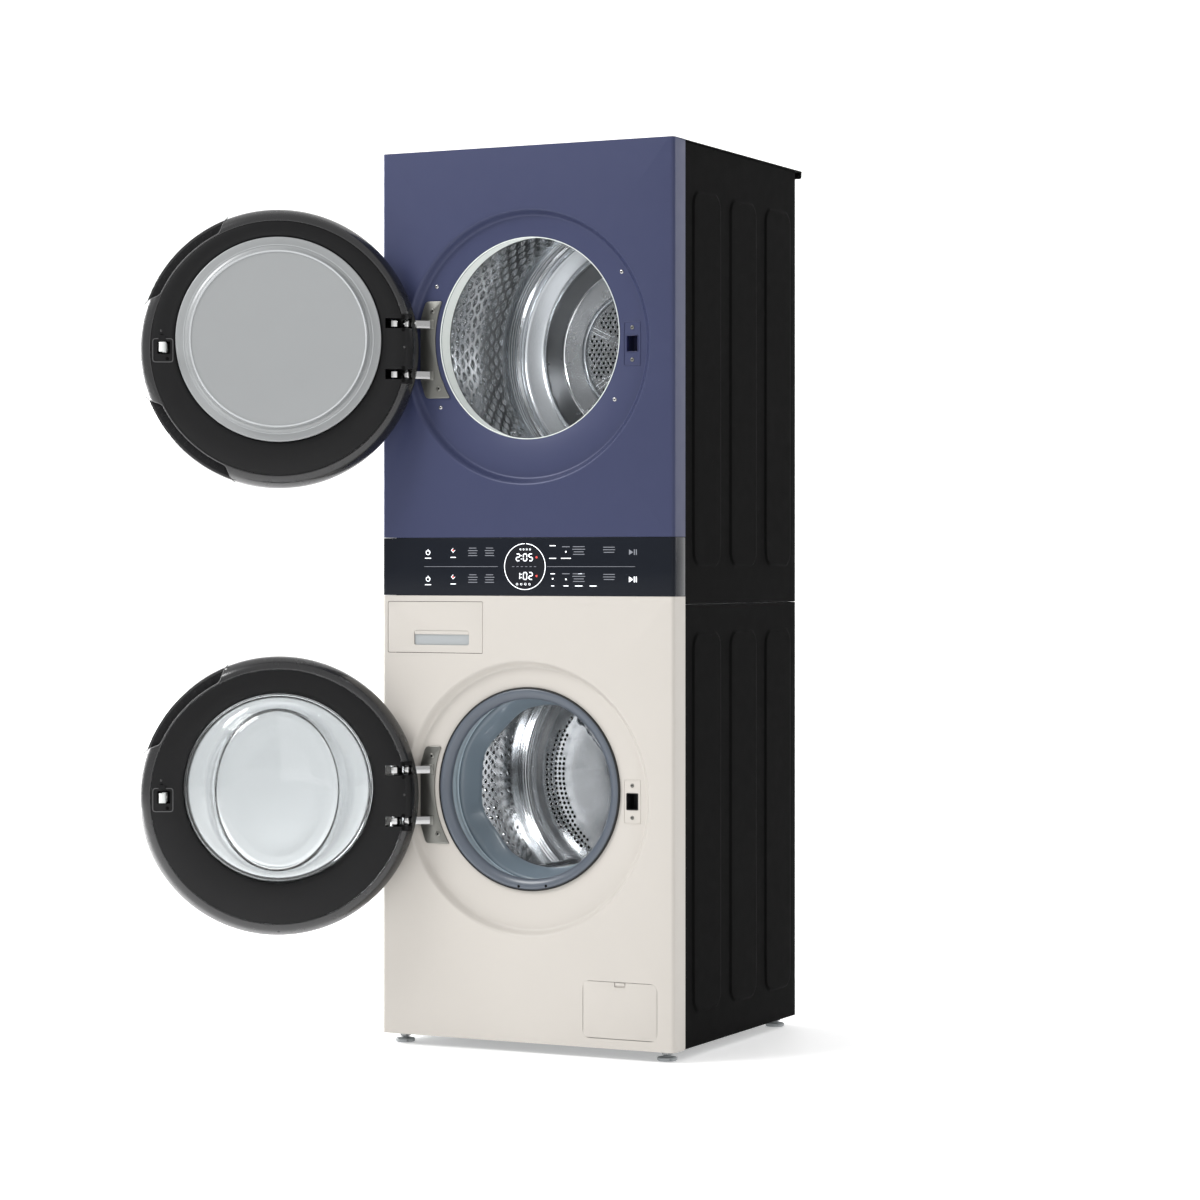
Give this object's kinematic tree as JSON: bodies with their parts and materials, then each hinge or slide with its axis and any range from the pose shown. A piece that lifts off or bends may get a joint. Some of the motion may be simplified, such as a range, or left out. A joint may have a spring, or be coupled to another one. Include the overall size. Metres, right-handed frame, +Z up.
{
  "type": "washer dryer stack",
  "caption": "One-piece laundry tower: a front-loading washer below a dryer, shared control band between them, round swing doors, detergent drawer and drain flap.",
  "frame": {"origin": "centre of the base pan's underside, 19 mm above the floor that the feet stand on", "axes": "+Z up, -Y out of the front, +X to the right as seen from the front"},
  "size_m": [0.9661, 0.8789, 1.655],
  "materials": {
    "beige_paint": "satin",
    "beige_plastic": "satin",
    "black_paint": "satin",
    "black_rubber": "matte",
    "blue_paint": "satin",
    "board_green": "satin",
    "clear_glass": "polished",
    "coil_aluminium": "satin",
    "concrete_grey": "matte",
    "dark_plastic": "matte",
    "fascia_black": "gloss",
    "frosted_panel": "satin",
    "gloss_plastic": "gloss",
    "grey_plastic": "matte",
    "grey_rubber": "matte",
    "motor_paint": "satin",
    "smoked_glass": "polished",
    "stainless": "polished",
    "zinc_steel": "satin"
  },
  "bodies": {
    "cabinet": {"base_pan": "zinc_steel", "foot_front_left": "grey_plastic", "foot_front_right": "grey_plastic", "foot_back_left": "grey_plastic", "foot_back_right": "grey_plastic", "washer_side_left": "black_paint", "washer_side_right": "black_paint", "dryer_side_left": "black_paint", "dryer_side_right": "black_paint", "tub_spring_left": "stainless", "tub_spring_right": "stainless", "tub_damper_left": "dark_plastic", "tub_damper_right": "dark_plastic", "washer_back_panel": "zinc_steel", "dryer_back_panel": "zinc_steel", "divider_shelf": "zinc_steel", "top_cover": "black_paint", "washer_front_panel": "beige_paint", "dryer_front_panel": "blue_paint", "control_fascia": "fascia_black", "display_lens": "smoked_glass", "control_board": "board_green", "dryer_hinge_bracket": "zinc_steel", "washer_hinge_bracket": "zinc_steel", "dryer_latch": "dark_plastic", "washer_latch": "dark_plastic", "dryer_bulkhead": "grey_plastic", "drum_belt": "black_rubber", "dryer_motor": "motor_paint", "compressor": "motor_paint", "heat_exchanger": "coil_aluminium", "blower_housing": "dark_plastic", "washer_gasket": "grey_rubber", "washer_tub_front": "grey_plastic", "washer_tub_back": "grey_plastic", "motor_stator": "motor_paint", "counterweight": "concrete_grey", "dispenser_box": "grey_plastic", "inlet_valve": "grey_plastic", "drain_pump": "dark_plastic"},
    "dryer_door": {"dryer_door_rim": "gloss_plastic", "dryer_door_frame": "dark_plastic", "dryer_door_glass": "frosted_panel", "dryer_door_cover": "smoked_glass"},
    "washer_door": {"washer_door_rim": "gloss_plastic", "washer_door_frame": "dark_plastic", "washer_door_glass": "clear_glass", "washer_door_cover": "smoked_glass"},
    "dryer_hook": {"dryer_door_hook": "grey_plastic"},
    "washer_hook": {"washer_door_hook": "grey_plastic"},
    "dryer_drum": {"dryer_drum_shell": "stainless", "dryer_drum_back": "stainless"},
    "motor_shaft": {"motor_pulley": "zinc_steel"},
    "washer_drum": {"washer_drum_shell": "stainless", "washer_drum_back": "stainless", "motor_rotor": "motor_paint"},
    "drawer": {"detergent_drawer": "beige_plastic"},
    "filter_flap": {"filter_cover": "beige_plastic"},
    "drain_cap": {"drain_filter_cap": "grey_plastic"},
    "lint_cassette": {"lint_filter": "dark_plastic"}
  },
  "joints": [
    {"name": "dryer_door_hinge", "type": "hinge", "parent": "cabinet", "child": "dryer_door", "pos_m": [-0.236, -0.299, 1.2695], "axis": [0, 0, 1], "range_deg": [0, 150]},
    {"name": "washer_door_hinge", "type": "hinge", "parent": "cabinet", "child": "washer_door", "pos_m": [-0.236, -0.299, 0.445], "axis": [0, 0, 1], "range_deg": [0, 150]},
    {"name": "dryer_hook_pivot", "type": "hinge", "parent": "dryer_door", "child": "dryer_hook", "pos_m": [-0.61752, -0.5262, 1.2695], "axis": [0, 0, 1], "range_deg": [0, 6], "stiffness_Nm_per_rad": 0.5},
    {"name": "washer_hook_pivot", "type": "hinge", "parent": "washer_door", "child": "washer_hook", "pos_m": [-0.61752, -0.5262, 0.445], "axis": [0, 0, 1], "range_deg": [0, 6], "stiffness_Nm_per_rad": 0.5},
    {"name": "dryer_drum_spin", "type": "hinge", "parent": "cabinet", "child": "dryer_drum", "pos_m": [0, 0, 1.2858], "axis": [0, 1, 0], "continuous": true},
    {"name": "dryer_motor_spin", "type": "hinge", "parent": "cabinet", "child": "motor_shaft", "pos_m": [0.17, 0.15, 0.9858], "axis": [0, 1, 0], "continuous": true},
    {"name": "washer_drum_spin", "type": "hinge", "parent": "cabinet", "child": "washer_drum", "pos_m": [0, 0, 0.4613], "axis": [0, 1, 0], "continuous": true},
    {"name": "drawer_slide", "type": "slide", "parent": "cabinet", "child": "drawer", "axis": [0, -1, 0], "range_m": [0, 0.2]},
    {"name": "filter_cover_hinge", "type": "hinge", "parent": "cabinet", "child": "filter_flap", "pos_m": [0.19225, -0.2784, 0.0205], "axis": [1, 0, 0], "range_deg": [0, 90]},
    {"name": "drain_cap_turn", "type": "hinge", "parent": "cabinet", "child": "drain_cap", "pos_m": [0.19225, -0.26, 0.069], "axis": [0, 1, 0], "range_deg": [0, 180]},
    {"name": "lint_filter_slide", "type": "slide", "parent": "cabinet", "child": "lint_cassette", "axis": [0, 0, 1], "range_m": [0, 0.1]}
  ],
  "couplings": [
    {"joint": "dryer_motor_spin", "follows": "dryer_drum_spin", "ratio": 14.944}
  ]
}
